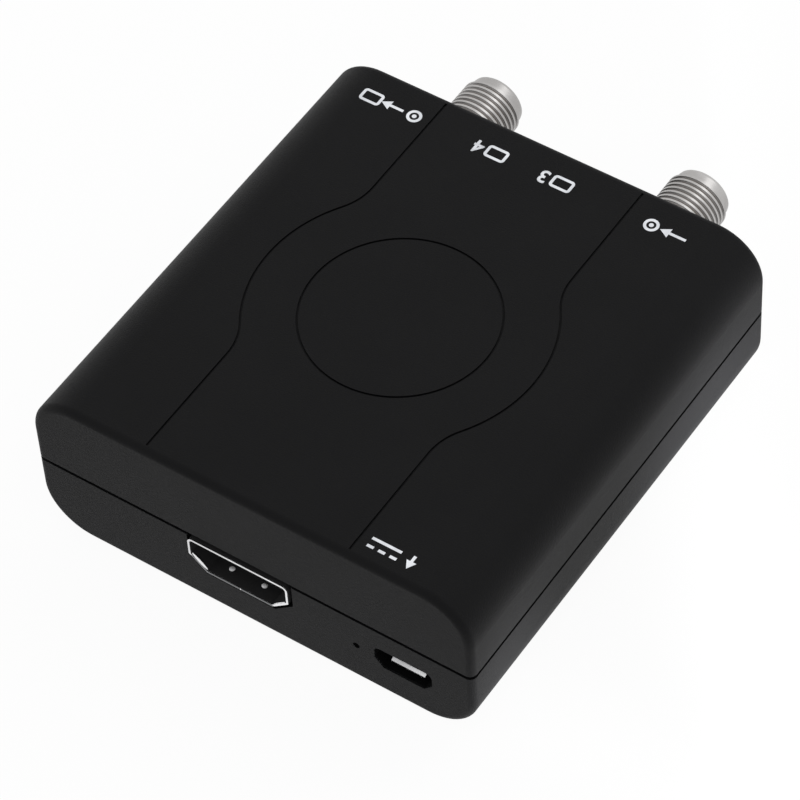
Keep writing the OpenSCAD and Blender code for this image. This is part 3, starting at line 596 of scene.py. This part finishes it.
# Painted shade: darker towards the thread's roots, on the threaded part only
thread_root_shade = work_out(tree, "MULTIPLY", height.outputs["Result"], threaded)
lay_over(satin_nickel, thread_root_shade, {"Base Color": root_painted_shade})
turn_marks(satin_nickel, radius, y, socket_line)
dress(satin_nickel, "rf_out_barrel", "rf_in_barrel")

insulator_cream = (0.62, 0.6, 0.54, 1)
insulator_white = (0.78, 0.76, 0.71, 1)
insulator_plastic = grained(
    "insulator_plastic", insulator_cream, insulator_white,
    grain_size=0.0002, relief=0.000005, rough=(0.35, 0.5))
dress(insulator_plastic, "rf_out_insulator", "rf_in_insulator")
dress(contact_gold, "rf_out_contact", "rf_in_contact")


# Channel switch: a folded tinned frame over a brown laminate base with three terminals. Its
# black knob slides in a slot in the back wall and carries the sliding contact.
laminate_brown = (0.16, 0.075, 0.03, 1)
laminate_pale = (0.24, 0.12, 0.055, 1)
laminate = grained(
    "laminate", laminate_brown, laminate_pale,
    grain_size=0.0003, relief=0.000008, rough=(0.4, 0.55))
dress(tinned_steel, "switch_frame")
dress(laminate, "switch_base")
dress(contact_gold, "switch_terminals", "switch_wiper")
dress(port_plastic, "switch_knob")


# Shield over the modulator: a frame of thin tinned steel soldered to the board, and a lid of
# the same sheet that clips over its walls.
dress(tinned_steel, "shield_frame", "shield_lid")


# Chips moulded in black epoxy, with tinned metal leads at their sides that are soldered to
# the board's top.
epoxy_black = (0.014, 0.014, 0.015, 1)
epoxy_grey = (0.026, 0.026, 0.028, 1)
chip_epoxy = grained(
    "chip_epoxy", epoxy_black, epoxy_grey,
    grain_size=0.00008, relief=0.000008, rough=(0.5, 0.7), level=0.3)
dress(chip_epoxy, "video_chip", "modulator_chip", "memory_chip", "voltage_regulator")
dress(tinned_steel, "chip_leads")


# Crystals and electrolytic capacitors, each closed in a drawn metal can that stands or lies
# on the board.
can_grey = (0.55, 0.55, 0.56, 1)
can_pale = (0.74, 0.74, 0.75, 1)
can_run = (1, 1, 0.05)
can_line = 0.00015
drawn_can = grained(
    "drawn_can", can_grey, can_pale,
    grain_size=0.0003, relief=0.000004, rough=(0.25, 0.4), metallic=1)
draw_out(drawn_can, can_run, can_line)
dress(drawn_can, "clock_crystal", "modulator_crystal", "power_capacitors")


# Inductor of pressed and sintered ferrite, and small chip resistors and capacitors of fired
# ceramic, all soldered to the board's top.
ferrite_black = (0.03, 0.03, 0.031, 1)
ferrite_grey = (0.065, 0.063, 0.062, 1)
ferrite = grained(
    "ferrite", ferrite_black, ferrite_grey,
    grain_size=0.00012, relief=0.000015, rough=(0.55, 0.75))
dress(ferrite, "power_inductor")
ceramic_brown = (0.3, 0.21, 0.12, 1)
ceramic_pale = (0.5, 0.39, 0.25, 1)
ceramic = grained(
    "ceramic", ceramic_brown, ceramic_pale,
    grain_size=0.0002, relief=0.000006, rough=(0.4, 0.55))
dress(ceramic, "chip_parts")


# Upper case shell, moulded in the same black plastic, with three moulded grooves on top. It
# sits over the lower shell's lip.
dress(case_plastic, "top_shell")


# Marks on the top, pad printed in white ink: the numbers of the two channels with a small
# screen beside each, a socket with an arrow out or in, and the sign for direct current.
case_h = 0.025
ink_proud = 0.000015
ink_root = 0.00002
ink_white = (0.86, 0.88, 0.92, 1)
ink_thin = (0.7, 0.72, 0.76, 1)
stroke = 0.0004
row_y = 0.0291
row_h = 0.0021
number_size = 0.002982
number_swell = 0.00006
screen_w = 0.0031
screen_round = 0.00052
screen_steps = 5
ring_steps = 48
disc_steps = 32
arrow_corners = 3
pin_r = 0.00032
arrow_r = 0.0009
point_left = math.pi / 2
point_front = math.pi
white_ink = grained(
    "white_ink", ink_thin, ink_white, grain_size=0.00005, relief=0.000002, rough=(0.4, 0.55))


def bar(x, y, w, h):
    """Flat bar, w along X and h along Y"""
    deselect()
    bpy.ops.mesh.primitive_plane_add(size=1, location=(x, y, case_h))
    bpy.ops.transform.resize(value=(w, h, 1))
    return bpy.context.object


def hollow(outline):
    """Leave only a border one stroke wide of a flat outline"""
    settle()
    edit_all()
    bpy.ops.mesh.inset(thickness=stroke)
    bpy.ops.mesh.delete(type="ONLY_FACE")
    bpy.ops.object.mode_set(mode="OBJECT")
    return outline


def disc(x, y, r, corners=disc_steps, turn=0):
    """Filled flat shape with even corners, such as a disc"""
    deselect()
    bpy.ops.mesh.primitive_circle_add(
        vertices=corners, radius=r, fill_type="NGON", location=(x, y, case_h), rotation=(0, 0, turn))
    return bpy.context.object


def ring(x, y, r):
    """Flat ring, one stroke wide"""
    return hollow(disc(x, y, r, ring_steps))


def arrow_head(x, y, r, turn):
    """Filled triangle that points to one side"""
    return disc(x, y, r, arrow_corners, turn)


def screen(x, y):
    """Outline of a small screen with rounded corners"""
    shape = bar(x, y, screen_w, row_h)
    settle()
    edit_all()
    bpy.ops.mesh.bevel(offset=screen_round, segments=screen_steps, affect="VERTICES")
    bpy.ops.object.mode_set(mode="OBJECT")
    return hollow(shape)


def number(text, x, y):
    """Plain number that reads from the back of the case"""
    deselect()
    bpy.ops.object.text_add(location=(x, y, case_h), rotation=(0, 0, math.pi))
    shape = bpy.context.object
    shape.data.body = text
    shape.data.size = number_size
    shape.data.align_x = "CENTER"
    shape.data.align_y = "CENTER"
    shape.data.offset = number_swell
    bpy.ops.object.convert(target="MESH")
    return shape


def print_mark(name, *shapes):
    """Join flat shapes into one mark and give the ink its thickness"""
    deselect()
    for shape in shapes:
        shape.select_set(True)
    bpy.context.view_layer.objects.active = shapes[0]
    bpy.ops.object.join()
    mark = bpy.context.object
    mark.name = name
    settle()
    edit_all()
    bpy.ops.transform.translate(value=(0, 0, -ink_root))
    bpy.ops.mesh.extrude_region_move(TRANSFORM_OT_translate={"value": (0, 0, ink_root + ink_proud)})
    bpy.ops.mesh.select_all(action="SELECT")
    bpy.ops.mesh.normals_make_consistent(inside=False)
    bpy.ops.object.mode_set(mode="OBJECT")
    mark.data.materials.clear()
    mark.data.materials.append(white_ink)
    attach(mark, "case")


four_x = -0.0073
four_screen_x = -0.0046
print_mark("channel_four_mark", number("4", four_x, row_y), screen(four_screen_x, row_y))

three_x = 0.0026
three_screen_x = 0.0053
print_mark("channel_three_mark", number("3", three_x, row_y), screen(three_screen_x, row_y))

out_screen_x = -0.02385
out_arrow_x = -0.0214
out_shaft_x = -0.01995
out_shaft_w = 0.0020
out_socket_x = -0.01725
print_mark(
    "rf_out_mark", screen(out_screen_x, row_y), arrow_head(out_arrow_x, row_y, arrow_r, point_left),
    bar(out_shaft_x, row_y, out_shaft_w, stroke), ring(out_socket_x, row_y, row_h / 2),
    disc(out_socket_x, row_y, pin_r))

in_socket_x = 0.0186
in_arrow_x = 0.0208
in_shaft_x = 0.02245
in_shaft_w = 0.0024
print_mark(
    "rf_in_mark", ring(in_socket_x, row_y, row_h / 2), disc(in_socket_x, row_y, pin_r),
    arrow_head(in_arrow_x, row_y, arrow_r, point_left), bar(in_shaft_x, row_y, in_shaft_w, stroke))

supply_x = 0.0184
supply_line_y = -0.0303
supply_line_w = 0.0042
supply_dash_y = -0.0315
supply_dash_w = 0.00096
supply_dash_step = 0.00162
supply_arrow_x = 0.0222
supply_arrow_y = -0.0312
supply_arrow_r = 0.0008
supply_shaft_y = -0.03035
supply_shaft_h = 0.0009
print_mark(
    "direct_current_mark", bar(supply_x, supply_line_y, supply_line_w, stroke),
    bar(supply_x - supply_dash_step, supply_dash_y, supply_dash_w, stroke),
    bar(supply_x, supply_dash_y, supply_dash_w, stroke),
    bar(supply_x + supply_dash_step, supply_dash_y, supply_dash_w, stroke),
    bar(supply_arrow_x, supply_shaft_y, stroke, supply_shaft_h),
    arrow_head(supply_arrow_x, supply_arrow_y, supply_arrow_r, point_front))


# Four self-tapping case screws of zinc-plated steel, driven from below, with turning marks
# round their heads.
zinc_grey = (0.3, 0.3, 0.31, 1)
zinc_pale = (0.45, 0.45, 0.46, 1)
screw_side = 0.0225
screw_end = 0.019
screw_line = 0.0001
zinc_steel = grained(
    "zinc_steel", zinc_grey, zinc_pale,
    grain_size=0.0002, relief=0.000004, rough=(0.24, 0.44), metallic=1)
tree = zinc_steel.node_tree
x, y, z = coordinates(tree)
radius = radius_of(
    tree, away_from(tree, x, screw_side, mirrored=True), away_from(tree, y, screw_end, mirrored=True))
turn_marks(zinc_steel, radius, z, screw_line)
dress(zinc_steel, "case_screws")
